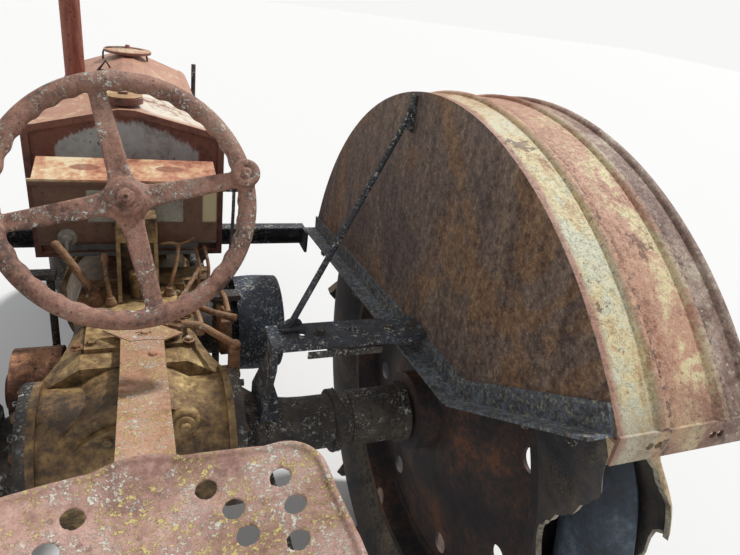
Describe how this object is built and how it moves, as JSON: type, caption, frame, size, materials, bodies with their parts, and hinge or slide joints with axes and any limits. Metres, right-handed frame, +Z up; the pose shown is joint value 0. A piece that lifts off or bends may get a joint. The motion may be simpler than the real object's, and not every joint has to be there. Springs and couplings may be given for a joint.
{
  "type": "vintage row-crop farm tractor",
  "caption": "Weathered row-crop farm tractor with clamshell rear fenders, pan seat, narrow tricycle front and side belt pulley.",
  "frame": {"origin": "on the ground under the middle of the machine's box", "axes": "+Z up, +Y forward, +X to the tractor's right"},
  "size_m": [1.74, 3.08, 1.95],
  "materials": {
    "cast_iron_tan": "rough, oil and dirt over old paint",
    "cast_iron_dark": "rough, rusty and lichened",
    "engine_paint": "faded paint over rust",
    "rusty_sheet": "faded paint, rusted through at the edges",
    "fender_sheet": "rusty with cream paint left on the crown",
    "dark_bar": "black paint with lichen",
    "seat_steel": "rusty with lichen",
    "bar_steel": "ochre rust with lichen",
    "wheel_iron": "worn paint with lichen",
    "rim_steel": "orange rust",
    "tyre": "weathered and cracked",
    "pulley_black": "black, lichened",
    "bare_metal": "grey, weathered"
  },
  "bodies": {
    "chassis": {"transmission_case": "cast_iron_tan", "clutch_housing": "cast_iron_tan", "engine_block": "engine_paint", "oil_pan": "engine_paint", "manifold": "rusty_sheet", "exhaust_stack": "rusty_sheet", "carburettor": "bare_metal", "air_cleaner": "dark_bar", "magneto": "bare_metal", "fan": "dark_bar", "radiator": "rusty_sheet", "grille": "rusty_sheet", "radiator_cap": "rusty_sheet", "hood": "rusty_sheet", "fuel_tank": "rusty_sheet", "dash_box": "rusty_sheet", "front_frame": "cast_iron_dark", "axle_housings": "cast_iron_dark", "brake_drum": "rim_steel", "pulley_case": "cast_iron_dark", "fender_left": "fender_sheet", "fender_right": "fender_sheet", "fender_struts": "dark_bar", "rear_crossmember": "dark_bar", "front_crossmember": "dark_bar", "seat_pan": "seat_steel", "seat_bar": "bar_steel", "column_tube": "cast_iron_dark", "column_pedestal": "cast_iron_dark", "steering_shaft": "cast_iron_dark", "gear_lever": "cast_iron_dark", "hand_levers": "bar_steel", "pedals": "cast_iron_dark", "drawbar": "cast_iron_dark"},
    "steering_wheel": {"steering_wheel": "wheel_iron"},
    "belt_pulley": {"belt_pulley": "pulley_black"},
    "front_upright": {"front_upright": "cast_iron_dark"},
    "front_wheel_left": {"front_wheel_left": "rim_steel", "front_tyre_left": "tyre"},
    "front_wheel_right": {"front_wheel_right": "rim_steel", "front_tyre_right": "tyre"},
    "rear_wheel_left": {"rear_wheel_left": "rim_steel", "rear_tyre_left": "tyre"},
    "rear_wheel_right": {"rear_wheel_right": "rim_steel", "rear_tyre_right": "tyre"}
  },
  "joints": [
    {"name": "front_steer", "type": "hinge", "parent": "chassis", "child": "front_upright", "pos_m": [0, 1.19, 0.7], "axis": [0, 0, 1], "range_deg": [-60, 60]},
    {"name": "steering_wheel_turn", "type": "hinge", "parent": "chassis", "child": "steering_wheel", "pos_m": [0, -0.609, 1.228], "axis": [0, -0.866, 0.5], "range_deg": [-540, 540]},
    {"name": "front_roll_left", "type": "hinge", "parent": "front_upright", "child": "front_wheel_left", "pos_m": [-0.142, 1.19, 0.35202], "axis": [0.9986, 0, 0.0523], "continuous": true},
    {"name": "front_roll_right", "type": "hinge", "parent": "front_upright", "child": "front_wheel_right", "pos_m": [0.142, 1.19, 0.35202], "axis": [0.9986, 0, -0.0523], "continuous": true},
    {"name": "rear_roll_left", "type": "hinge", "parent": "chassis", "child": "rear_wheel_left", "pos_m": [-0.745, -0.655, 0.7], "axis": [1, 0, 0], "continuous": true},
    {"name": "rear_roll_right", "type": "hinge", "parent": "chassis", "child": "rear_wheel_right", "pos_m": [0.745, -0.655, 0.7], "axis": [1, 0, 0], "continuous": true},
    {"name": "pulley_turn", "type": "hinge", "parent": "chassis", "child": "belt_pulley", "pos_m": [0.306, -0.27, 0.742], "axis": [1, 0, 0], "continuous": true}
  ],
  "couplings": [
    {"joint": "steering_wheel_turn", "follows": "front_steer", "ratio": 9}
  ]
}
